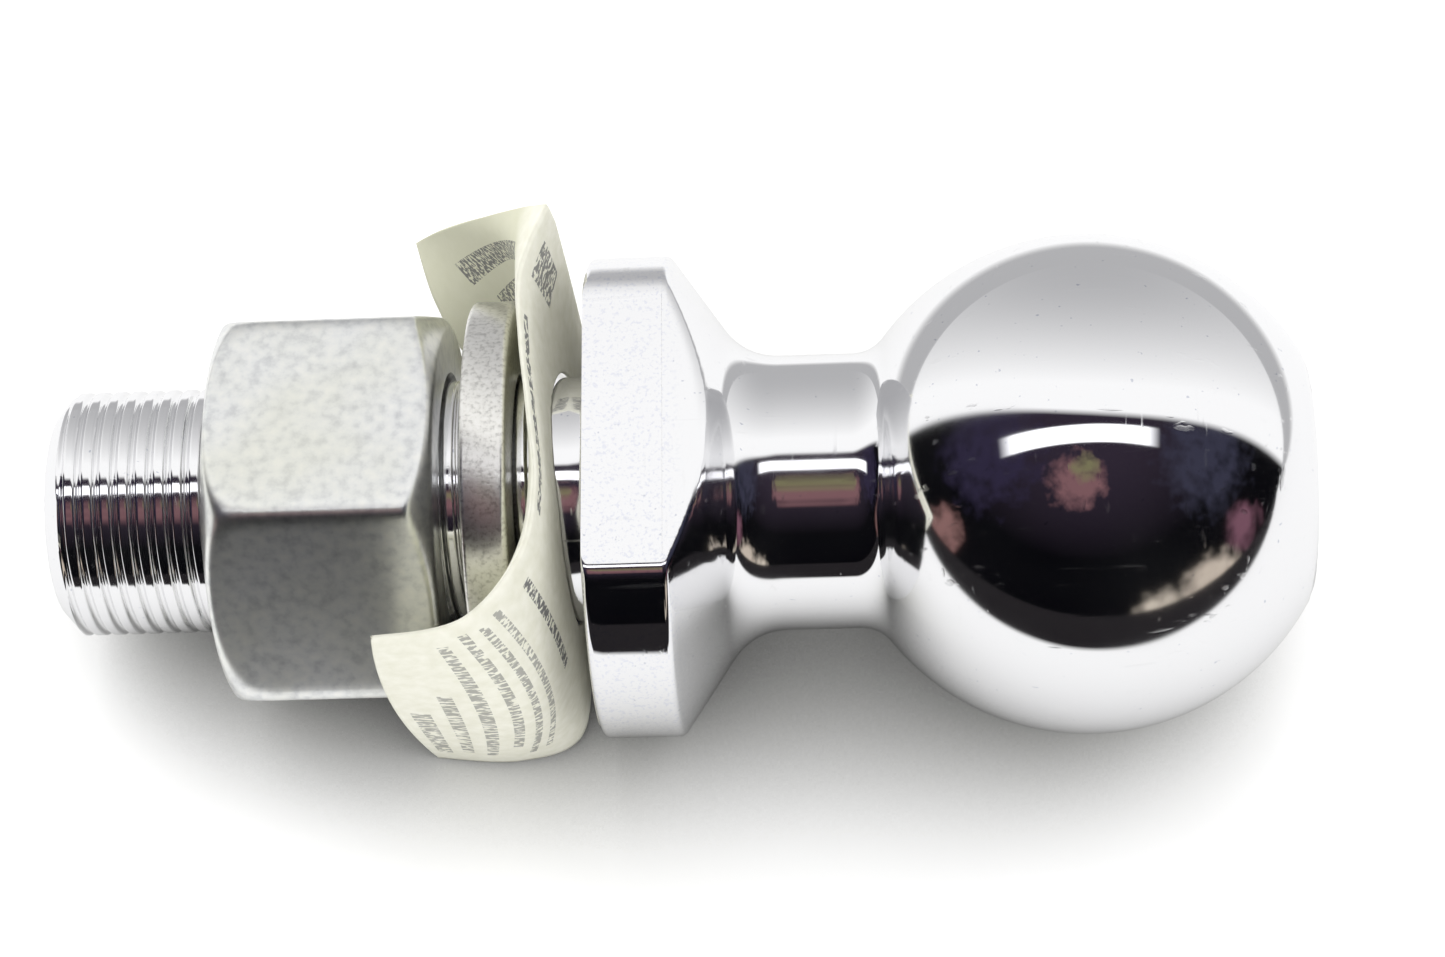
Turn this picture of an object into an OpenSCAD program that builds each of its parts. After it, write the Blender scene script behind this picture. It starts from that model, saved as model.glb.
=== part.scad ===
// Trailer hitch ball: a one-piece ball stud with its lock washer, hex nut and folded card tag.
// The origin is the ball's centre. The shank's axis lies along X, with the ball at its +X end, and
// Z is up when the part lies on its side on a bench. Each piece is drawn with the flange's seat
// face at x = 0, and seated() then moves it to its place.

/* [Ball] */
// Diameter of the coupler ball
ball_d = 50.8; // [47.6:0.1:58.8]
// Distance from the seat face to the ball's centre
ball_rise = 49.6; // [46:0.1:60]
// Distance from the ball's centre to the flat on its crown
crown_height = 22.4; // [20:0.1:23.5]

/* [Neck and flange] */
// Diameter of the neck under the ball
neck_d = 28; // [26:0.1:32]
// Diameter of the round flange
flange_d = 49; // [46:0.1:54]
// Height of the flange's straight rim
flange_rim = 8.6; // [6:0.1:11]
// Slope of the flange's top, from the axis, in degrees
flange_slope = 57.7; // [50:0.1:65]
// Width across the two wrench flats on the flange
wrench_flats = 38.1; // [36:0.1:44]
// How far the wrench flats are turned from level, in degrees
wrench_turn = 6; // [0:1:30]

/* [Shank] */
// Diameter of the shank over its thread
shank_d = 25; // [24.8:0.05:25.4]
// Length of the shank under the seat face
shank_len = 55; // [50:0.5:80]
// Length of the chamfer on the shank's end
end_chamfer = 1.9; // [1:0.1:3]
// Distance from one turn of the thread to the next
thread_pitch = 1.8143; // [1.5:0.0001:3.2]
// Depth of the thread
thread_depth = 0.5; // [0.4:0.05:1.2]

/* [Nut and washer] */
// Width of the nut across its flats
nut_flats = 38.1; // [36:0.1:41.3]
// Thickness of the nut
nut_thick = 23; // [20:0.1:25]
// Distance from the seat face to the nut's inner face
nut_place = 14.8; // [14:0.1:20]
// Radial clearance of the nut on the shank
nut_clear = 0.05; // [0.02:0.01:0.1]
// Outside diameter of the lock washer
washer_d = 41; // [38:0.1:42]
// Thickness of the lock washer
washer_thick = 4.9; // [4:0.1:6]
// Distance from the seat face to the washer's inner face
washer_place = 7.3; // [7.2:0.1:8]

/* [Tag] */
// Thickness of the card
card_thick = 0.3; // [0.2:0.05:0.5]
// Diameter of the hole punched through both leaves
tag_hole_d = 26; // [25.6:0.1:30]

/* [Hidden] */
$fn = 96;

ball_r = ball_d / 2;
neck_r = neck_d / 2;
flange_r = flange_d / 2;
shank_r = shank_d / 2;
washer_r = washer_d / 2;
rim_break = 0.6;          // bevel on the flange's two rims
flange_fillet = 6.5;      // fillet between the flange's slope and the neck
ball_fillet = 4;          // fillet between the neck and the ball
fillet_steps = 12;        // cone rings in each fillet
cut = 80;                 // size of the blocks that trim a shape

// Points of an arc, from angle a to angle b, as [radius, height]
function arc(c, r, a, b, n) =
    [for (i = [0 : n]) let (t = a + (b - a) * i / n) c + r * [cos(t), sin(t)]];

// Where the flange's slope would meet the neck, and where the fillets' centres lie
slope_out = flange_r - neck_r;
slope_meets_neck = flange_rim + slope_out / tan(flange_slope);
flange_tangent = flange_fillet * tan(flange_slope / 2);
flange_fillet_c = [neck_r + flange_fillet, slope_meets_neck + flange_tangent];
ball_fillet_reach = sqrt(pow(ball_r + ball_fillet, 2) - pow(neck_r + ball_fillet, 2));
ball_fillet_c = [neck_r + ball_fillet, ball_rise - ball_fillet_reach];
ball_fillet_end = atan2(ball_fillet_reach, -(neck_r + ball_fillet));
shoulder_sink = 0.98;     // how deep the neck's last point goes into the ball

// Half outline of the flange and neck, as [radius, height]
body_outline = concat(
    [[0, 0], [flange_r - rim_break, 0], [flange_r, rim_break],
     [flange_r, flange_rim - rim_break],
     [flange_r - rim_break, flange_rim + rim_break * (1 / tan(flange_slope))]],
    arc(flange_fillet_c, flange_fillet, -90 - (90 - flange_slope) , -180, fillet_steps),
    arc(ball_fillet_c, ball_fillet, 180, ball_fillet_end, fillet_steps),
    [[shoulder_sink * (neck_r + 1), ball_rise - sqrt(pow(ball_r, 2) - pow(neck_r + 1, 2)) + 1],
     [0, ball_rise]]
);

// The thread is drawn as level rings. They stop under the nut's outer face, so the free end is one
// plain pin of the thread's outside diameter.
groove_mouth = 0.6 * thread_pitch;
groove_root = 0.12 * thread_pitch;
first_groove = -nut_place - nut_thick - 0.4 + groove_mouth / 2;
last_groove = -6;
turns = floor((last_groove - first_groove) / thread_pitch);
function groove(at) = [
    [shank_r, at - groove_mouth / 2], [shank_r - thread_depth, at - groove_root / 2],
    [shank_r - thread_depth, at + groove_root / 2], [shank_r, at + groove_mouth / 2]
];

// Half outline of the shank, which runs into the flange, as [radius, height]
end_r = shank_r - end_chamfer * 1.15;
shank_outline = concat(
    [[0, -shank_len], [end_r, -shank_len], [shank_r, -shank_len + end_chamfer]],
    [for (i = [0 : turns]) each groove(first_groove + i * thread_pitch)],
    [[shank_r, flange_rim / 2], [0, flange_rim / 2]]
);

// Turns a half outline about the X axis
module about_x(outline) {
    rotate([0, 90, 0]) rotate_extrude() polygon(outline);
}

// Moves a piece drawn on the seat face so that the ball's centre is the origin
module seated() {
    translate([-ball_rise, 0, 0]) children();
}

module ball() {
    intersection() {
        translate([ball_rise, 0, 0]) rotate([0, 90, 0]) sphere(r = ball_r);
        translate([ball_rise + crown_height - cut / 2, 0, 0]) cube(cut, center = true);
    }
}

// Both wrench flats: what lies beyond them, over the flange's length
module wrench_cuts() {
    length = slope_meets_neck;
    rotate([wrench_turn, 0, 0])
        for (side = [-1, 1])
            translate([length / 2 - 1, 0, side * (wrench_flats + cut) / 2])
                cube([length + 2, cut, cut], center = true);
}

module ball_stud() {
    color("gainsboro") seated() {
        ball();
        difference() {
            about_x(body_outline);
            wrench_cuts();
        }
        about_x(shank_outline);
    }
}

// A hexagon with flats facing up and down and a bore that clears the shank. Its outer face has a
// round shoulder, as on a forged nut, and its inner face a plain chamfer.
module hex_nut() {
    corner_r = nut_flats / sqrt(3);
    shoulder = 5;
    inner_face_r = nut_flats / 2 - 0.85;
    inner_drop = (corner_r + 1 - inner_face_r) * tan(30);
    bore_r = shank_r + nut_clear;
    color("silver") seated()
        translate([-nut_place - nut_thick, 0, 0])
            rotate([0, 90, 0])
                difference() {
                    intersection() {
                        rotate([0, 0, 30]) cylinder(r = corner_r, h = nut_thick, $fn = 6);
                        rotate_extrude() polygon(concat(
                            [[0, 0]],
                            arc([corner_r - shoulder, shoulder], shoulder, -90, -15, 4),
                            [[corner_r + 1, shoulder + 1], [corner_r + 1, nut_thick - inner_drop],
                             [inner_face_r, nut_thick], [0, nut_thick]]
                        ));
                    }
                    translate([0, 0, -1]) cylinder(r = bore_r, h = nut_thick + 2);
                }
}

// A square-section spring ring, cut through on a slant
module lock_washer() {
    edge = 0.5;
    bore_r = shank_r + 0.4;
    slot = 2.2;
    lean = 35;
    color("lightgray") seated()
        translate([-washer_place - washer_thick, 0, 0])
            rotate([0, 90, 0])
                difference() {
                    rotate_extrude() polygon([
                        [bore_r, 0], [washer_r - edge, 0], [washer_r, edge],
                        [washer_r, washer_thick - edge], [washer_r - edge, washer_thick],
                        [bore_r, washer_thick]
                    ]);
                    rotate([0, 0, -60])
                        translate([washer_r - 5, 0, washer_thick / 2])
                            rotate([lean, 0, 0])
                                cube([14, slot, 3 * washer_thick], center = true);
                }
}

// The card is one sheet folded along its top edge. Each leaf is a curved patch through three rows
// of points: the fold, the leaf's middle and its lower edge. Each row has eight points, about 8 mm
// apart, from the leaf's far end to its near end.
fold_row = [
    [-3.7, 22.3, 21], [-6.3, 14.6, 21.2], [-6.1, 6.6, 21.2], [-5.1, -1.4, 21.2],
    [-4.3, -9.4, 21.2], [-5.6, -17.4, 21.2], [-11, -24, 21], [-19.4, -25.5, 21]
];
flange_leaf = [
    fold_row,
    [[-2.7, 22.2, 2], [-3, 14.4, 2], [-2.9, 6.5, 2], [-2.8, -1.5, 2],
     [-2.7, -9.4, 2], [-3, -17.2, 2], [-7, -23.8, 2], [-19.9, -23.9, 2.5]],
    [[-2.4, 23, -17], [-2.6, 15, -18], [-2.5, 7, -19], [-2.5, -1, -19.5],
     [-2.5, -9, -20], [-3.6, -17.4, -20.3], [-10, -19.8, -20.3], [-18.4, -19.3, -20]]
];
washer_leaf = [
    fold_row,
    [[-14.3, 29.4, 7], [-9.8, 24.8, 8], [-7.2, 21, 7.5], [-5.9, 15.5, 6],
     [-5.8, 4.5, 3.5], [-5.4, -4.5, 3], [-5.2, -14.2, 3], [-7.2, -22.1, 3]],
    [[-20.7, 34.9, -5], [-18.6, 28.5, -7.5], [-15, 24, -12], [-6.2, 20.3, -15.5],
     [-5.3, 11.5, -17], [-5.2, 4, -17.5], [-5, -4, -17.5], [-4.8, -12, -17.5]]
];
fold_spread = 0.35;       // how far the fold's round bend holds each leaf off the fold's plane
strips = 28;              // panels along the fold
bands = 12;               // panels down each leaf

// A point on the smooth curve through a row's points, for s from 0 to 1
function along(row, s) =
    let (last = len(row) - 1,
         k = min(floor(s * last), last - 1),
         f = s * last - k,
         a = row[max(k - 1, 0)], b = row[k], c = row[k + 1], d = row[min(k + 2, last)])
    b + f / 2 * (c - a) + f * f * (a - 2.5 * b + 2 * c - d / 2)
      + f * f * f * (1.5 * (b - c) + (d - a) / 2);
// A point of a leaf: t runs from 0 at the fold, through its middle row, to 1 at its lower edge
function leaf(rows, s, t) =
    (1 - t) * (1 - 2 * t) * along(rows[0], s)
    + 4 * t * (1 - t) * along(rows[1], s)
    + t * (2 * t - 1) * along(rows[2], s);
// The level direction square to the fold, on the flange leaf's side
function fold_out(s) =
    let (d = along(fold_row, min(s + 0.01, 1)) - along(fold_row, max(s - 0.01, 0)))
    [-d[1], d[0], 0] / norm([d[0], d[1]]);
// A point of the card: t runs from -1, the washer-side leaf's lower edge, to 1, the other's
function card(s, t) =
    let (u = abs(t), held_off = fold_spread * min(u / 0.08, 1) * (1 - u) * (1 - u))
    leaf(t < 0 ? washer_leaf : flange_leaf, s, u) + sign(t) * held_off * fold_out(s);
function card_normal(s, t) =
    let (d = 0.01,
         across = card(min(s + d, 1), t) - card(max(s - d, 0), t),
         down = card(s, min(t + d, 1)) - card(s, max(t - d, -1)),
         n = cross(across, down))
    n / norm(n);

module label_tag() {
    wide = strips + 1;
    tall = 2 * bands + 1;
    count = wide * tall;
    skin = [for (side = [-1, 1], j = [0 : tall - 1], i = [0 : wide - 1])
        let (s = i / strips, t = j / bands - 1)
        card(s, t) + side * card_thick / 2 * card_normal(s, t)];
    function at(side, j, i) = side * count + j * wide + i;
    faces = concat(
        [for (j = [0 : tall - 2], i = [0 : wide - 2])
            [at(0, j, i), at(0, j, i + 1), at(0, j + 1, i + 1), at(0, j + 1, i)]],
        [for (j = [0 : tall - 2], i = [0 : wide - 2])
            [at(1, j, i), at(1, j + 1, i), at(1, j + 1, i + 1), at(1, j, i + 1)]],
        [for (j = [0 : tall - 2])
            [at(0, j, 0), at(0, j + 1, 0), at(1, j + 1, 0), at(1, j, 0)]],
        [for (j = [0 : tall - 2])
            [at(0, j + 1, wide - 1), at(0, j, wide - 1), at(1, j, wide - 1), at(1, j + 1, wide - 1)]],
        [for (i = [0 : wide - 2])
            [at(0, 0, i + 1), at(0, 0, i), at(1, 0, i), at(1, 0, i + 1)]],
        [for (i = [0 : wide - 2])
            [at(0, tall - 1, i), at(0, tall - 1, i + 1), at(1, tall - 1, i + 1), at(1, tall - 1, i)]]
    );
    color("ivory") seated()
        difference() {
            polyhedron(skin, faces, convexity = 6);
            rotate([0, 90, 0]) cylinder(d = tag_hole_d, h = cut, center = true);
        }
}

ball_stud();
hex_nut();
lock_washer();
label_tag();
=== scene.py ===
"""Trailer hitch ball with its lock washer, hex nut and folded card tag, lying on a white bench.

The row frame has the ball's centre at its origin, the shank along X and Z up. The outlines below are
in millimetres, with x counted from the flange's seat face.
"""
import math

import bpy
import numpy as np
from mathutils import Matrix, Vector


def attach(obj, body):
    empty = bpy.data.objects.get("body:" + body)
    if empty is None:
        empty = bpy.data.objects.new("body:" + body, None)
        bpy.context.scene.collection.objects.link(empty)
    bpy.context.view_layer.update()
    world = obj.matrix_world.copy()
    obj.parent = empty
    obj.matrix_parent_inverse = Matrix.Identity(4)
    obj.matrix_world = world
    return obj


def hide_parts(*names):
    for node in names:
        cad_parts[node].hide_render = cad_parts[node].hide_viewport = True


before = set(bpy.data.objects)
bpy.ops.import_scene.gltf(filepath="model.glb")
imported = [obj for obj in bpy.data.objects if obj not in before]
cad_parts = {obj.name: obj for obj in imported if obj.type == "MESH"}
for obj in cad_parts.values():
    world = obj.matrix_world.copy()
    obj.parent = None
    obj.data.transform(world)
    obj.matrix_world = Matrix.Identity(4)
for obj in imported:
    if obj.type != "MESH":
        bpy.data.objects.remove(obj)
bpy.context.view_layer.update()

MM = 0.001

# Ball, neck and flange
SEAT_TO_BALL = 49.6
BALL_R = 25.4
CROWN_X = 72.0
NECK_R = 14.0
FLANGE_R = 24.5
FLANGE_RIM = 8.6
FLANGE_SLOPE = math.radians(57.7)
HALF_FLATS = 19.05
WRENCH_TURN = math.radians(6)
FLANGE_FILLET = 6.5
BALL_FILLET = 4.0
LOWER_ROUND = 0.7
UPPER_ROUND = 0.9

# Shank and thread. The groove is shallower than a real thread's, which would be about 1.1 mm deep.
SHANK_R = 12.5
SHANK_END = -55.0
END_CHAMFER = 1.9
CHAMFER_DEPTH = 2.2
PITCH = 1.8143
THREAD_DEPTH = 0.42
GROOVE_HALF = 0.25
GROOVE_FLANK = 0.17
RUN_OUT_FROM = -5.2
RUN_OUT_LENGTH = 2.4

# Nut
NUT_INNER = -14.8
NUT_OUTER = -37.8
NUT_CORNER_R = 2 * HALF_FLATS / math.sqrt(3)
NUT_ROUND = 5.0
NUT_THREAD_GAP = 0.14

# Lock washer
WASHER_R = 20.5
WASHER_BORE = 12.9
WASHER_INNER = -7.3
WASHER_THICK = 4.9
WASHER_EDGE = 0.55
WASHER_GAP = math.radians(7.5)
WASHER_GAP_AT = math.radians(210)
WASHER_GAP_SLANT = math.radians(35)
WASHER_LIFT = 0.36

# Card
CARD_THICK = 0.3
TAG_HOLE_R = 13.0
FOLD_SPREAD = 0.35
FOLD_BEND = 0.08

# Points round each turned piece
AROUND = 240


# ---------------------------------------------------------------- meshes

def smooth_min(a, b, k):
    """The smaller of a and b, with the change between them rounded over k."""
    h = np.clip(k - np.abs(a - b), 0, None) / k
    return np.minimum(a, b) - h * h * k / 4


def arc(cx, cr, r, start, end, count):
    """Points (x, radius) of an arc; angles are in degrees, from the X axis towards larger radii."""
    return [(cx + r * math.cos(math.radians(a)), cr + r * math.sin(math.radians(a)))
            for a in np.linspace(start, end, count)]


def between(a, b, count):
    """Evenly spaced points (x, radius) after a, up to and with b."""
    return [(a[0] + (b[0] - a[0]) * k / count, a[1] + (b[1] - a[1]) * k / count)
            for k in range(1, count + 1)]


def thread(x, turn):
    """Depth of the helical groove at x and angle, from 0 at the crest to 1 at the root."""
    phase = (x / PITCH - turn / (2 * math.pi)) % 1.0
    off_root = np.abs(phase - 0.5)
    return np.clip((GROOVE_HALF - off_root) / GROOVE_FLANK, 0, 1)


def shank_radius(x, turn):
    """The threaded shank's radius, with the end's chamfer and the thread's run-out."""
    run_out = np.clip((RUN_OUT_FROM - x) / RUN_OUT_LENGTH, 0, 1)
    cut = SHANK_R - THREAD_DEPTH * thread(x, turn) * run_out
    chamfer = SHANK_R - CHAMFER_DEPTH + (x - SHANK_END) * CHAMFER_DEPTH / END_CHAMFER
    return np.minimum(cut, chamfer)


def ring_mesh(name, x, r, turn, closed=False):
    """A mesh from rows of points round the X axis; x, r and turn have one row per ring."""
    rows, cols = r.shape
    points = np.stack([(x - SEAT_TO_BALL), r * np.cos(turn), r * np.sin(turn)], axis=-1) * MM
    verts = points.reshape(-1, 3)
    j, i = np.meshgrid(np.arange(rows if closed else rows - 1), np.arange(cols), indexing="ij")
    nj = (j + 1) % rows
    ni = (i + 1) % cols
    faces = np.stack([j * cols + i, nj * cols + i, nj * cols + ni, j * cols + ni], axis=-1)
    return new_mesh(name, verts, faces.reshape(-1, 4))


def new_mesh(name, verts, faces):
    """A new object in the scene, with a mesh of these points and faces."""
    mesh = bpy.data.meshes.new(name)
    mesh.from_pydata([tuple(v) for v in verts], [], [tuple(int(k) for k in f) for f in faces])
    mesh.validate()
    mesh.update()
    obj = bpy.data.objects.new(name, mesh)
    bpy.context.scene.collection.objects.link(obj)
    return obj


def shade(obj, angle):
    """Smooth shading, with edges sharper than angle kept crisp."""
    bpy.context.view_layer.objects.active = obj
    for other in bpy.context.selected_objects:
        other.select_set(False)
    obj.select_set(True)
    bpy.ops.object.mode_set(mode="EDIT")
    bpy.ops.mesh.select_all(action="SELECT")
    bpy.ops.mesh.normals_make_consistent(inside=False)
    bpy.ops.object.mode_set(mode="OBJECT")
    bpy.ops.object.shade_smooth_by_angle(angle=math.radians(angle))
    obj.select_set(False)


def stud_outline():
    """Points (x, radius) from the shank's top, over the flange and neck, to the ball's crown."""
    slope_deg = math.degrees(FLANGE_SLOPE)
    slope_len = FLANGE_R - NECK_R
    meet = FLANGE_RIM + slope_len / math.tan(FLANGE_SLOPE)
    flange_c = meet + FLANGE_FILLET * math.tan(FLANGE_SLOPE / 2)
    reach = math.sqrt((BALL_R + BALL_FILLET) ** 2 - (NECK_R + BALL_FILLET) ** 2)
    ball_c = SEAT_TO_BALL - reach
    touch = math.degrees(math.atan2(NECK_R + BALL_FILLET, -reach))
    low = LOWER_ROUND
    up = UPPER_ROUND
    outline = arc(-up, SHANK_R + up, up, -90, 0, 5)[1:]
    outline += between(outline[-1], (0, FLANGE_R - low), 10)
    outline += arc(low, FLANGE_R - low, low, 180, 90, 6)[1:]
    outline += between(outline[-1], (FLANGE_RIM - low, FLANGE_R), 8)
    outline += arc(FLANGE_RIM - up, FLANGE_R - up, up, 90, 90 - slope_deg, 6)[1:]
    neck_arc = arc(flange_c, NECK_R + FLANGE_FILLET, FLANGE_FILLET, 180 + (90 - slope_deg), 270, 16)
    outline += between(outline[-1], neck_arc[0], 12) + neck_arc[1:]
    ball_arc = arc(ball_c, NECK_R + BALL_FILLET, BALL_FILLET, 270, 360 - (180 - touch), 12)
    outline += between(outline[-1], ball_arc[0], 6) + ball_arc[1:]
    edge = math.degrees(math.acos((CROWN_X - SEAT_TO_BALL) / BALL_R))
    outline += arc(SEAT_TO_BALL, 0, BALL_R, touch, edge + 2.5, 90)[1:]
    rim = outline[-1][1]
    outline += [(CROWN_X - 0.42, rim - 0.5), (CROWN_X - 0.1, rim - 1.1), (CROWN_X, rim - 1.8)]
    return outline + between(outline[-1], (CROWN_X, 0.02), 10)


def make_stud():
    """The chromed forging: threaded shank, flange with two wrench flats, neck and ball."""
    shank_x = np.concatenate([
        np.linspace(SHANK_END, SHANK_END + END_CHAMFER, 14),
        np.arange(SHANK_END + END_CHAMFER + 0.14, -4.6, PITCH / 13),
        [-4.0, -2.0, -0.9]])
    start = between((SHANK_END, 0.02), (SHANK_END, SHANK_R - 2.5), 8)
    outline = stud_outline()
    x = np.array([p[0] for p in start] + list(shank_x) + [p[0] for p in outline])
    base = np.array([p[1] for p in start] + [SHANK_R] * len(shank_x) + [p[1] for p in outline])
    turn = np.linspace(0, 2 * math.pi, AROUND, endpoint=False)
    xx, tt = np.meshgrid(x, turn, indexing="ij")
    r = np.repeat(base[:, None], AROUND, axis=1)
    first = len(start)
    last = first + len(shank_x)
    r[first:last] = shank_radius(xx[first:last], tt[first:last])
    r[first] = np.minimum(r[first], SHANK_R - 2.3)
    across = np.abs(np.sin(tt - WRENCH_TURN))
    flat_r = HALF_FLATS / np.maximum(across, 0.05)
    on_flange = (xx > -0.1) & (xx < 19)
    r = np.where(on_flange, smooth_min(r, flat_r, 0.5), r)
    stud = ring_mesh("Ball_stud_chrome", xx, r, tt)
    cap_ends(stud, len(x), AROUND)
    shade(stud, 80)
    return stud


def cap_ends(obj, rows, cols):
    """Closes the small holes at the two ends of a ring mesh."""
    mesh = obj.data
    verts = [tuple(v.co) for v in mesh.vertices]
    faces = [tuple(f.vertices) for f in mesh.polygons]
    faces.append(tuple(range(cols - 1, -1, -1)))
    faces.append(tuple(range((rows - 1) * cols, rows * cols)))
    mesh.clear_geometry()
    mesh.from_pydata(verts, [], faces)
    mesh.update()


def make_nut():
    """The hex nut: forged round shoulder on its outer face, plain chamfer on the inner, and a thread."""
    turn = np.linspace(0, 2 * math.pi, AROUND, endpoint=False)
    face_r = HALF_FLATS - 0.85
    outline = [(NUT_INNER - 1.3, SHANK_R - 0.4), (NUT_INNER, SHANK_R + 0.9)]
    outline += between(outline[-1], (NUT_INNER, face_r - 0.3), 6)
    outline += [(NUT_INNER - 0.06, face_r)]
    outline += between(outline[-1], (NUT_INNER - 2.7, NUT_CORNER_R + 0.7), 10)
    outline += between(outline[-1], (NUT_OUTER + 6.2, NUT_CORNER_R + 0.7), 20)
    outline += between(outline[-1], (NUT_OUTER + NUT_ROUND, NUT_CORNER_R + 0.1), 4)
    outline += arc(NUT_OUTER + NUT_ROUND, NUT_CORNER_R - NUT_ROUND, NUT_ROUND, 90, 178, 18)
    outline += between(outline[-1], (NUT_OUTER, SHANK_R + 1.1), 6)
    outline += [(NUT_OUTER + 1.5, SHANK_R - 0.4)]
    outside = len(outline)
    bore_x = np.arange(NUT_OUTER + 1.7, NUT_INNER - 1.5, PITCH / 8)
    x = np.array([p[0] for p in outline] + list(bore_x))
    base = np.array([p[1] for p in outline] + [SHANK_R] * len(bore_x))
    xx, tt = np.meshgrid(x, turn, indexing="ij")
    r = np.repeat(base[:, None], AROUND, axis=1)
    corner_power = 55
    sides = np.zeros_like(tt)
    for k in range(6):
        sides += np.clip(np.cos(tt - math.pi / 2 - k * math.pi / 3), 0, 1) ** corner_power
    hexagon = HALF_FLATS / sides ** (1 / corner_power)
    r = smooth_min(r, hexagon, 0.7)
    thread_r = SHANK_R + NUT_THREAD_GAP - THREAD_DEPTH * thread(xx, tt)
    r[outside:] = thread_r[outside:]
    r[0] = np.maximum(r[0], thread_r[0])
    r[outside - 1] = np.maximum(r[outside - 1], thread_r[outside - 1])
    nut = ring_mesh("Hex_nut_zinc", xx, r, tt, closed=True)
    shade(nut, 40)
    return nut


def make_washer():
    """The lock washer: one turn of a rectangular-section ring, its slanted ends a little out of line."""
    corners = [(-1, -1), (-1, 1), (1, 1), (1, -1)]
    edge = WASHER_EDGE
    half_x = WASHER_THICK / 2 - 0.18
    half_r = (WASHER_R - WASHER_BORE) / 2
    mid_r = (WASHER_R + WASHER_BORE) / 2
    section = []
    for side_x, side_r in corners:
        angle = math.atan2(side_r, side_x)
        for step in np.linspace(-math.pi / 4, math.pi / 4, 5):
            section.append((side_x * (half_x - edge) + edge * math.cos(angle - step),
                            side_r * (half_r - edge) + edge * math.sin(angle - step)))
    steps = 220
    lean = math.tan(WASHER_GAP_SLANT) / mid_r
    verts = []
    for k in range(steps + 1):
        share = k / steps
        turn = WASHER_GAP_AT + WASHER_GAP / 2 + share * (2 * math.pi - WASHER_GAP)
        lift = WASHER_LIFT * (share - 0.5)
        for dx, dr in section:
            at = turn + lean * dx
            x = WASHER_INNER - WASHER_THICK / 2 + dx + lift
            radius = mid_r + dr
            y, z = radius * math.cos(at), radius * math.sin(at)
            verts.append(((x - SEAT_TO_BALL) * MM, y * MM, z * MM))
    count = len(section)
    faces = []
    for k in range(steps):
        for i in range(count):
            n = (i + 1) % count
            faces.append((k * count + i, k * count + n, (k + 1) * count + n, (k + 1) * count + i))
    faces.append(tuple(range(count)))
    faces.append(tuple(steps * count + i for i in reversed(range(count))))
    washer = new_mesh("Lock_washer_zinc", verts, faces)
    shade(washer, 40)
    return washer


# The card's shape: each leaf is a curved patch through three rows of points, from the fold down
FOLD_ROW = [(-3.7, 22.3, 21), (-6.3, 14.6, 21.2), (-6.1, 6.6, 21.2), (-5.1, -1.4, 21.2),
            (-4.3, -9.4, 21.2), (-5.6, -17.4, 21.2), (-11, -24, 21), (-19.4, -25.5, 21)]
FLANGE_LEAF = [
    FOLD_ROW,
    [(-2.7, 22.2, 2), (-3, 14.4, 2), (-2.9, 6.5, 2), (-2.8, -1.5, 2),
     (-2.7, -9.4, 2), (-3, -17.2, 2), (-7, -23.8, 2), (-19.9, -23.9, 2.5)],
    [(-2.4, 23, -17), (-2.6, 15, -18), (-2.5, 7, -19), (-2.5, -1, -19.5),
     (-2.5, -9, -20), (-3.6, -17.4, -20.3), (-10, -19.8, -20.3), (-18.4, -19.3, -20)]]
WASHER_LEAF = [
    FOLD_ROW,
    [(-14.3, 29.4, 7), (-9.8, 24.8, 8), (-7.2, 21, 7.5), (-5.9, 15.5, 6),
     (-5.8, 4.5, 3.5), (-5.4, -4.5, 3), (-5.2, -14.2, 3), (-7.2, -22.1, 3)],
    [(-20.7, 34.9, -5), (-18.6, 28.5, -7.5), (-15, 24, -12), (-6.2, 20.3, -15.5),
     (-5.3, 11.5, -17), (-5.2, 4, -17.5), (-5, -4, -17.5), (-4.8, -12, -17.5)]]


def along(row, s):
    """A point on the smooth curve through a row's points, for s from 0 to 1."""
    last = len(row) - 1
    k = min(int(s * last), last - 1)
    f = s * last - k
    a, b = row[max(k - 1, 0)], row[k]
    c, d = row[k + 1], row[min(k + 2, last)]
    slope = f / 2 * (c - a)
    bend = f * f * (a - 2.5 * b + 2 * c - d / 2)
    return b + slope + bend + f ** 3 * (1.5 * (b - c) + (d - a) / 2)


def card_point(s, t):
    """A point of the card; t runs from -1, the washer leaf's lower edge, to 1, the flange leaf's."""
    u = abs(t)
    rows = [np.array(row, float) for row in (WASHER_LEAF if t < 0 else FLANGE_LEAF)]
    point = (1 - u) * (1 - 2 * u) * along(rows[0], s)
    point = point + 4 * u * (1 - u) * along(rows[1], s) + u * (2 * u - 1) * along(rows[2], s)
    step = along(rows[0], min(s + 0.01, 1)) - along(rows[0], max(s - 0.01, 0))
    out = np.array([-step[1], step[0], 0]) / math.hypot(step[0], step[1])
    held_off = FOLD_SPREAD * min(u / FOLD_BEND, 1) * (1 - u) ** 2
    return point + math.copysign(1, t) * held_off * out * (u > 0)


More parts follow.
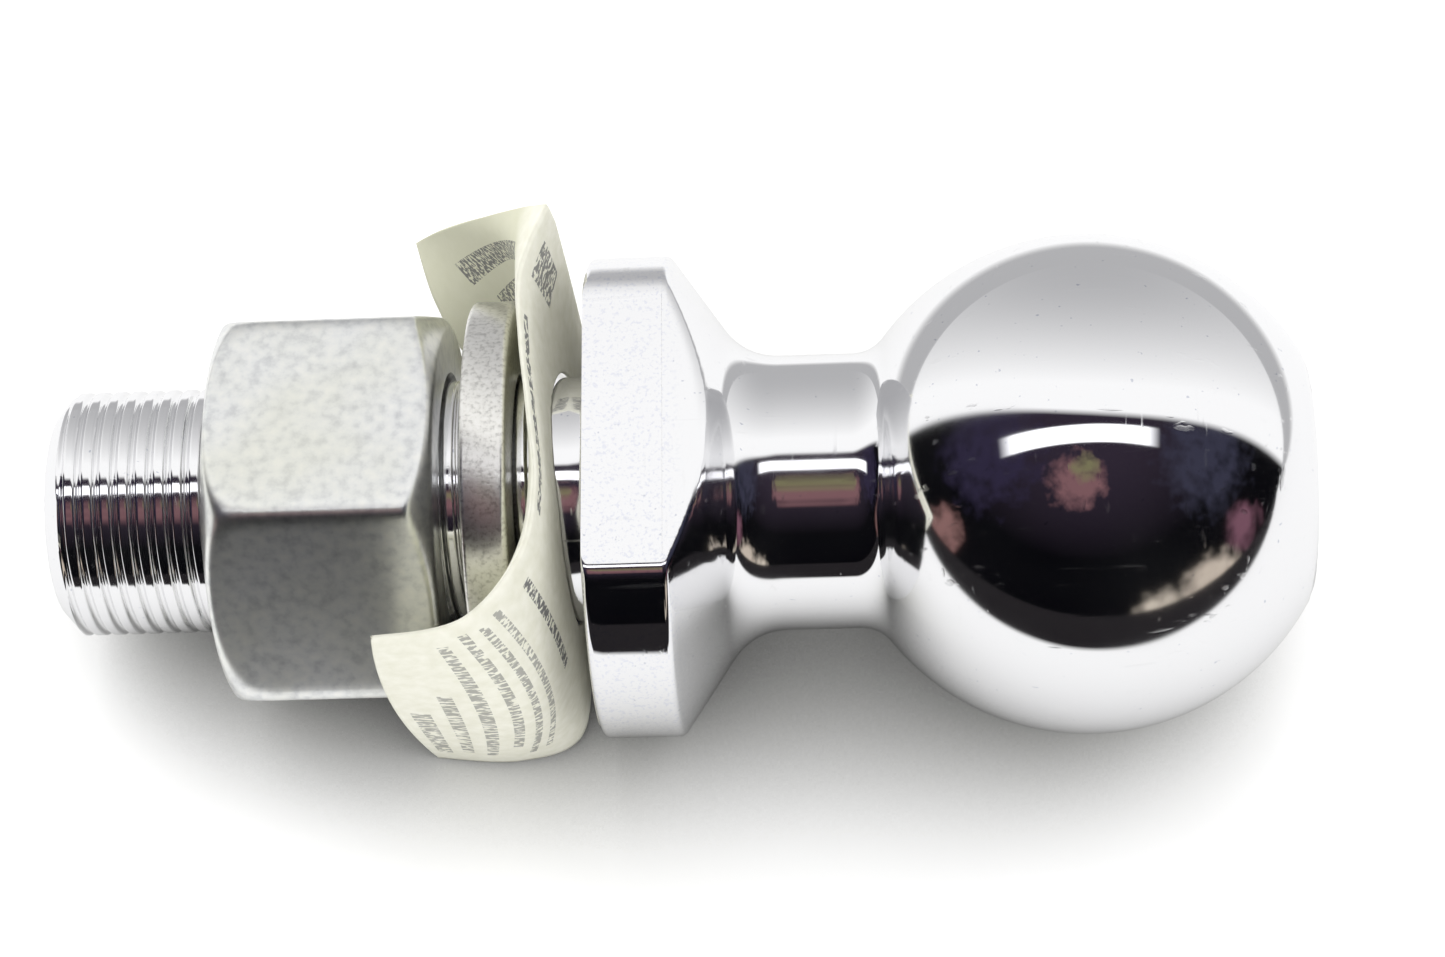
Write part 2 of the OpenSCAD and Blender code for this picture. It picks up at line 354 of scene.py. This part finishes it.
def make_tag():
    """The folded card: one thin sheet, punched through both leaves for the shank."""
    across, down = 160, 64
    wide = across + 1
    uvs = [(i / across, j / down - 1) for j in range(2 * down + 1) for i in range(wide)]
    points = np.array([card_point(s, t) for s, t in uvs])
    from_axis = np.hypot(points[:, 1], points[:, 2])
    inside = from_axis < TAG_HOLE_R
    faces = []
    for j in range(2 * down):
        for i in range(across):
            face = (j * wide + i, j * wide + i + 1, (j + 1) * wide + i + 1, (j + 1) * wide + i)
            if not all(inside[k] for k in face):
                faces.append(face)
    on_hole = sorted({k for face in faces for k in face if inside[k]})
    points[on_hole, 1:] *= (TAG_HOLE_R / from_axis[on_hole])[:, None]
    used = sorted({k for face in faces for k in face})
    number = {k: n for n, k in enumerate(used)}
    points[:, 0] -= SEAT_TO_BALL
    tag = new_mesh("Card_tag", points[used] * MM, [[number[k] for k in face] for face in faces])
    layer = tag.data.uv_layers.new(name="UVMap")
    for loop in tag.data.loops:
        layer.data[loop.index].uv = uvs[used[loop.vertex_index]]
    tag.data.shade_smooth()
    thick = tag.modifiers.new("Thickness", "SOLIDIFY")
    thick.thickness = CARD_THICK * MM
    thick.offset = 0
    return tag


# ---------------------------------------------------------------- materials

def material(name):
    """A new material, and a helper that adds nodes to it."""
    mat = bpy.data.materials.new(name)
    mat.use_nodes = True
    return mat, Shader(mat.node_tree)


class Shader:
    """Short ways to add and join nodes in one tree."""

    def __init__(self, tree):
        self.tree = tree
        self.main = tree.nodes.get("Principled BSDF")

    def add(self, kind, **facts):
        node = self.tree.nodes.new(kind)
        for key, value in facts.items():
            setattr(node, key, value)
        return node

    def join(self, a, b):
        self.tree.links.new(a, b)

    def set_or_join(self, socket, value):
        if isinstance(value, bpy.types.NodeSocket):
            self.join(value, socket)
        else:
            socket.default_value = value

    def math(self, operation, a, b=0.0, c=0.0, clamp=False):
        node = self.add("ShaderNodeMath", operation=operation, use_clamp=clamp)
        for socket, value in zip(node.inputs, (a, b, c)):
            self.set_or_join(socket, value)
        return node.outputs[0]

    def noise(self, vector, scale, detail=3.0, stretch=None):
        if stretch:
            mapping = self.add("ShaderNodeMapping")
            mapping.inputs["Scale"].default_value = stretch
            self.join(vector, mapping.inputs["Vector"])
            vector = mapping.outputs[0]
        node = self.add("ShaderNodeTexNoise")
        node.inputs["Scale"].default_value = scale
        node.inputs["Detail"].default_value = detail
        self.join(vector, node.inputs["Vector"])
        return node.outputs["Fac"]

    def ramp(self, fac, stops):
        node = self.add("ShaderNodeValToRGB")
        elements = node.color_ramp.elements
        while len(elements) < len(stops):
            elements.new(0.5)
        for element, (place, colour) in zip(elements, stops):
            element.position = place
            element.color = (*colour, 1)
        self.join(fac, node.inputs["Fac"])
        return node.outputs["Color"]

    def span(self, value, low, high, to_low=0.0, to_high=1.0):
        node = self.add("ShaderNodeMapRange", clamp=True)
        for socket, item in zip(node.inputs, (value, low, high, to_low, to_high)):
            self.set_or_join(socket, item)
        return node.outputs[0]

    def mix(self, fac, a, b):
        node = self.add("ShaderNodeMix", data_type="RGBA")
        self.set_or_join(node.inputs[0], fac)
        self.set_or_join(node.inputs[6], a)
        self.set_or_join(node.inputs[7], b)
        return node.outputs[2]

    def bump(self, height, strength, distance, under=None):
        node = self.add("ShaderNodeBump")
        node.inputs["Strength"].default_value = strength
        node.inputs["Distance"].default_value = distance
        self.join(height, node.inputs["Height"])
        if under:
            self.join(under, node.inputs["Normal"])
        return node.outputs["Normal"]

    def place(self):
        return self.add("ShaderNodeTexCoord").outputs["Object"]


def chrome():
    """Bright plate with hairline scratches, fine specks, faint smudges and a bluish speckle on the
    flange.
    """
    mat, sh = material("Stud chrome")
    at = sh.place()
    main = sh.main.inputs
    main["Metallic"].default_value = 1.0
    scratch = sh.noise(at, 900, 2, (0.06, 1.0, 1.0))
    other = sh.noise(at, 1100, 2, (1.0, 0.08, 0.5))
    fine = sh.math("MAXIMUM", sh.span(scratch, 0.66, 0.72), sh.span(other, 0.68, 0.74))
    smudge = sh.noise(at, 60, 4)
    specks = sh.span(sh.noise(at, 1500, 1), 0.74, 0.8)
    split = sh.add("ShaderNodeSeparateXYZ")
    sh.join(at, split.inputs[0])
    below_top = sh.span(split.outputs[0], -0.0395, -0.0415)
    above_seat = sh.span(split.outputs[0], -0.0505, -0.0495)
    on_flange = sh.math("MULTIPLY", below_top, above_seat)
    dull = sh.math("MULTIPLY", sh.span(sh.noise(at, 2600, 3), 0.54, 0.66), on_flange)
    rough = sh.math("ADD", sh.span(smudge, 0.35, 0.75, 0.035, 0.12), sh.math("MULTIPLY", fine, 0.12))
    sh.join(rough, main["Roughness"])
    clean = sh.mix(sh.math("MULTIPLY", dull, 0.4), (0.86, 0.86, 0.87, 1), (0.6, 0.63, 0.76, 1))
    colour = sh.mix(specks, clean, (0.6, 0.62, 0.68, 1))
    sh.join(colour, main["Base Color"])
    ripple = sh.bump(sh.noise(at, 120, 1), 0.05, 0.0002)
    sh.join(sh.bump(fine, 0.06, 0.00005, ripple), main["Normal"])
    return mat


def nut_zinc():
    """Dull zinc plate: mottled light and dark, with a yellow-green tint in broad patches."""
    mat, sh = material("Nut zinc")
    at = sh.place()
    main = sh.main.inputs
    main["Metallic"].default_value = 1.0
    mottle = sh.noise(at, 850, 7)
    large = sh.noise(at, 70, 3)
    colour = sh.ramp(mottle, [(0.25, (0.64, 0.65, 0.66)), (0.5, (0.85, 0.86, 0.85)),
                              (0.7, (0.93, 0.93, 0.9))])
    tint = sh.mix(sh.span(large, 0.45, 0.7, 0, 0.3), colour, (0.78, 0.78, 0.6, 1))
    sh.join(tint, main["Base Color"])
    main["Roughness"].default_value = 0.32
    sh.join(sh.bump(mottle, 0.2, 0.00004), main["Normal"])
    return mat


def washer_zinc():
    """Satin zinc with dark speckle."""
    mat, sh = material("Washer zinc")
    at = sh.place()
    main = sh.main.inputs
    main["Metallic"].default_value = 1.0
    grain = sh.noise(at, 2200, 4)
    colour = sh.ramp(grain, [(0.34, (0.62, 0.61, 0.58)), (0.5, (0.86, 0.85, 0.81)),
                             (0.7, (0.92, 0.91, 0.88))])
    sh.join(colour, main["Base Color"])
    main["Roughness"].default_value = 0.3
    sh.join(sh.bump(grain, 0.35, 0.00006), main["Normal"])
    return mat


# Grey marks that stand for print: (first s, last s, first t, last t, ink), in the card's own s and t
PRINT = [
    (0.728, 0.748, 0.08, 0.56, 0.9),
    (0.800, 0.814, 0.05, 0.90, 0.6),
    (0.832, 0.846, 0.06, 0.92, 0.6),
    (0.864, 0.878, 0.05, 0.84, 0.6),
    (0.896, 0.910, 0.08, 0.92, 0.6),
    (0.926, 0.940, 0.40, 0.90, 0.6),
    (0.955, 0.978, 0.55, 0.92, 0.6),
    (0.22, 0.62, 0.03, 0.055, 0.85),
    (0.06, 0.13, 0.06, 0.22, 0.8),
    (0.10, 0.17, -0.80, -0.12, 0.85),
    (0.24, 0.31, -0.74, -0.30, 0.8),
]


def tag_card():
    """Cream card with fibres, rows of broken grey dashes where the print is, and painted shade on the
    washer leaf.
    """
    mat, sh = material("Tag card")
    at = sh.place()
    main = sh.main.inputs
    uv = sh.add("ShaderNodeTexCoord").outputs["UV"]
    split = sh.add("ShaderNodeSeparateXYZ")
    sh.join(uv, split.inputs[0])
    s, t = split.outputs[0], split.outputs[1]
    dash = sh.span(sh.noise(uv, 1.0, 2, (70, 85, 1)), 0.45, 0.5)
    ink = None
    for s0, s1, t0, t1, strength in PRINT:
        in_s = sh.math("MULTIPLY", sh.math("GREATER_THAN", s, s0), sh.math("LESS_THAN", s, s1))
        in_t = sh.math("MULTIPLY", sh.math("GREATER_THAN", t, t0), sh.math("LESS_THAN", t, t1))
        mark = sh.math("MULTIPLY", sh.math("MULTIPLY", in_s, in_t), strength)
        ink = mark if ink is None else sh.math("MAXIMUM", ink, mark)
    ink = sh.math("MULTIPLY", ink, dash)
    fibre = sh.noise(at, 700, 4)
    paper = sh.ramp(fibre, [(0.3, (0.84, 0.83, 0.7)), (0.7, (0.93, 0.92, 0.81))])
    # Painted shade: the washer leaf (t below -0.04) is darkened and yellowed to stand for the shade it
    # lies in.
    painted_leaf_shade = sh.span(t, -0.12, -0.04, 0.75, 0)
    paper = sh.mix(painted_leaf_shade, paper, (0.68, 0.68, 0.5, 1))
    sh.join(sh.mix(ink, paper, (0.12, 0.12, 0.13, 1)), main["Base Color"])
    main["Roughness"].default_value = 0.8
    sh.join(sh.bump(fibre, 0.15, 0.0001), main["Normal"])
    return mat


# ---------------------------------------------------------------- pieces

def fit_piece(obj, mat, body, node):
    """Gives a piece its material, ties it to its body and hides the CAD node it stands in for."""
    obj.data.materials.clear()
    obj.data.materials.append(mat)
    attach(obj, body)
    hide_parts(node)
    return obj


stud = fit_piece(make_stud(), chrome(), "stud", "ball_stud")
fit_piece(make_nut(), nut_zinc(), "nut", "hex_nut")
fit_piece(make_washer(), washer_zinc(), "washer", "lock_washer")
tag = fit_piece(make_tag(), tag_card(), "tag", "label_tag")


# ---------------------------------------------------------------- bench, light and camera

BENCH_TILT = math.radians(4.2)
BENCH_EDGE = -0.12
BENCH_GLARE = 0.34
BENCH_BACK = 0.12
ROOM_TOP = math.sin(math.radians(3))
ROOM_FLARE = 0.16
ROOM_LEAN = -0.096
LAMP_STRIP = (-0.55, 0.42, -0.170, -0.040)
LAMP_FADE = 0.1
LAMP_SOFT = 0.012
# What stands in the dark room, as the metal sees it: (direction, how wide, colour)
ROOM_PATCHES = [
    ((-0.10, -0.46, 0.88), 0.040, (0.24, 0.12, 0.13)),
    ((-0.04, -0.36, 0.93), 0.010, (0.2, 0.2, 0.1)),
    ((-0.91, -0.38, 0.15), 0.020, (0.3, 0.16, 0.15)),
    ((0.45, -0.89, -0.06), 0.024, (0.75, 0.66, 0.55)),
    ((0.74, -0.66, -0.06), 0.040, (0.7, 0.6, 0.5)),
    ((0.93, -0.36, 0.09), 0.022, (0.22, 0.1, 0.14)),
    ((0.80, -0.13, 0.59), 0.120, (0.045, 0.045, 0.075)),
    ((-0.70, -0.10, 0.70), 0.140, (0.03, 0.024, 0.055)),
]

# The roll, lens and place in view were fitted to the photo's outlines, with the height read from the
# nut's corners. The photo does not settle the swing and the distance, so both were set.
CAMERA_HEIGHT = math.radians(61.2)
CAMERA_SWING = math.radians(3.0)
CAMERA_ROLL = math.radians(1.776)
CAMERA_AWAY = 0.380
SEAT_IN_VIEW = Vector((-0.012645, -0.002046, 0))
LENS = 92.5


def make_bench():
    """White bench, tilted as the part lies: on its ball and the nut's lower flat.

    Metal sees it end in a dark room in front and a grey wall behind. The camera sees a little glare.
    Near the part its colour and glare are darkened by painted shade, taken from occlusion.
    """
    bpy.ops.mesh.primitive_plane_add(size=6, location=(0, 0, -BALL_R * MM / math.cos(BENCH_TILT)),
                                     rotation=(0, BENCH_TILT, 0))
    bench = bpy.context.object
    bench.name = "Bench"
    mat, sh = material("Bench white")
    main = sh.main.inputs
    # Painted shade: the bench's colour and glow go dark where the part is close, standing for contact
    # shadows.
    near = sh.add("ShaderNodeAmbientOcclusion", samples=12)
    near.inputs["Distance"].default_value = 0.045
    painted_contact_shade = sh.ramp(near.outputs["AO"], [(0.12, (0.06, 0.06, 0.058)), (0.42, (0.4, 0.4, 0.39)),
                                        (0.68, (0.82, 0.82, 0.815)), (0.86, (0.9, 0.9, 0.9))])
    sh.join(painted_contact_shade, main["Base Color"])
    sh.join(painted_contact_shade, main["Emission Color"])
    main["Roughness"].default_value = 1.0
    main["Specular IOR Level"].default_value = 0.0
    split = sh.add("ShaderNodeSeparateXYZ")
    sh.join(sh.add("ShaderNodeNewGeometry").outputs["Position"], split.inputs[0])
    past_edge = sh.span(split.outputs[1], BENCH_EDGE - 0.012, BENCH_EDGE + 0.004, 1, 0)
    past_back = sh.span(split.outputs[1], BENCH_BACK - 0.02, BENCH_BACK + 0.03)
    path = sh.add("ShaderNodeLightPath").outputs
    sh.join(sh.math("MULTIPLY", path["Is Camera Ray"], BENCH_GLARE), main["Emission Strength"])
    dark = sh.add("ShaderNodeEmission")
    sh.join(sh.mix(past_back, (0.02, 0.018, 0.02, 1), (0.5, 0.5, 0.51, 1)), dark.inputs["Color"])
    mixer = sh.add("ShaderNodeMixShader")
    beyond = sh.math("ADD", past_edge, past_back, clamp=True)
    sh.join(sh.math("MULTIPLY", beyond, path["Is Glossy Ray"]), mixer.inputs[0])
    sh.join(sh.main.outputs[0], mixer.inputs[1])
    sh.join(dark.outputs[0], mixer.inputs[2])
    sh.join(mixer.outputs[0], sh.tree.nodes["Material Output"].inputs["Surface"])
    bench.data.materials.append(mat)


def make_world():
    """Pale light from all round; metal sees a dark room in front, from the bench to overhead."""
    world = bpy.data.worlds.new("Studio")
    bpy.context.scene.world = world
    world.use_nodes = True
    sh = Shader(world.node_tree)
    background = world.node_tree.nodes["Background"]
    way = sh.add("ShaderNodeTexCoord").outputs["Generated"]
    split = sh.add("ShaderNodeSeparateXYZ")
    sh.join(way, split.inputs[0])
    sideways = sh.math("MULTIPLY", sh.math("POWER", split.outputs[0], 2.0), ROOM_FLARE)
    sideways = sh.math("MULTIPLY_ADD", split.outputs[0], ROOM_LEAN, sideways)
    back = sh.math("SUBTRACT", split.outputs[1], sideways)
    room = sh.span(back, ROOM_TOP - 0.02, ROOM_TOP + 0.03, 1, 0)
    glow = sh.span(back, 0.3, 1.0, 1, 0)
    wall = sh.mix(sh.math("POWER", glow, 1.2), (0.48, 0.48, 0.49, 1), (1.05, 1.05, 1.05, 1))
    high = sh.span(split.outputs[2], 0.45, 0.95)
    dark = sh.mix(high, (0.002, 0.002, 0.003, 1), (0.03, 0.022, 0.036, 1))
    wobble = sh.math("MULTIPLY_ADD", sh.noise(way, 11, 5), 1.8, -0.9)
    for direction, spread, colour in ROOM_PATCHES:
        toward = sh.add("ShaderNodeVectorMath", operation="DOT_PRODUCT")
        sh.join(way, toward.inputs[0])
        toward.inputs[1].default_value = Vector(direction).normalized()
        close = sh.math("ADD", toward.outputs["Value"], sh.math("MULTIPLY", wobble, spread))
        patch = sh.span(close, 1 - spread * 0.8, 1 - spread * 0.05, 0, 0.85)
        dark = sh.mix(patch, dark, (*colour, 1))
    x_low, x_high, y_low, y_high = LAMP_STRIP
    x, y = split.outputs[0], split.outputs[1]
    in_x = sh.math("MULTIPLY", sh.span(x, x_low - LAMP_FADE, x_low),
                   sh.span(x, x_high, x_high + LAMP_FADE, 1, 0))
    in_y = sh.math("MULTIPLY", sh.span(y, y_low - LAMP_SOFT, y_low),
                   sh.span(y, y_high, y_high + LAMP_SOFT, 1, 0))
    overhead = sh.span(split.outputs[2], 0.2, 0.3)
    lamp = sh.math("MULTIPLY", sh.math("MULTIPLY", in_x, in_y), overhead)
    metal_sees = sh.mix(lamp, sh.mix(room, wall, dark), (1.6, 1.6, 1.65, 1))
    seen_in_metal = sh.add("ShaderNodeLightPath").outputs["Is Glossy Ray"]
    sh.join(sh.mix(seen_in_metal, (1.0, 1.0, 1.0, 1), metal_sees), background.inputs["Color"])
    background.inputs["Strength"].default_value = 1.05


def make_light(name, place, target, size, power):
    """A rectangular lamp that metal doesn't show."""
    data = bpy.data.lights.new(name, "AREA")
    data.shape = "RECTANGLE"
    data.size, data.size_y = size
    data.energy = power
    light = bpy.data.objects.new(name, data)
    bpy.context.scene.collection.objects.link(light)
    light.location = place
    light.visible_glossy = False
    light.rotation_euler = (Vector(target) - Vector(place)).to_track_quat("-Z", "Y").to_euler()


def make_camera():
    """The camera looks down at the part from the -Y side, with the ball end a little nearer."""
    shank = Vector((math.cos(CAMERA_SWING) * math.cos(CAMERA_ROLL),
                    math.cos(CAMERA_SWING) * math.sin(CAMERA_ROLL), math.sin(CAMERA_SWING)))
    back = Vector((0, 0, 1))
    towards = (back - shank * shank.z).normalized()
    up = towards.cross(shank)

    def to_row(v):
        u, w = v.dot(up), v.dot(towards)
        return Vector((v.dot(shank), u * math.sin(CAMERA_HEIGHT) - w * math.cos(CAMERA_HEIGHT),
                       u * math.cos(CAMERA_HEIGHT) + w * math.sin(CAMERA_HEIGHT)))

    data = bpy.data.cameras.new("Camera")
    data.lens = LENS
    data.sensor_width = 36
    data.clip_start = 0.01
    camera = bpy.data.objects.new("Camera", data)
    bpy.context.scene.collection.objects.link(camera)
    turn = Matrix([to_row(Vector(v)) for v in ((1, 0, 0), (0, 1, 0), (0, 0, 1))]).transposed()
    place = to_row(Vector((0, 0, CAMERA_AWAY)) - SEAT_IN_VIEW) - Vector((SEAT_TO_BALL * MM, 0, 0))
    camera.matrix_world = Matrix.Translation(place) @ turn.to_4x4()
    bpy.context.scene.camera = camera


make_bench()
make_world()
make_light("Overhead", (-0.1, 0.5, 0.9), (-0.02, 0, 0), (1.4, 1.0), 3)
make_camera()
bpy.context.scene.view_settings.view_transform = "Standard"
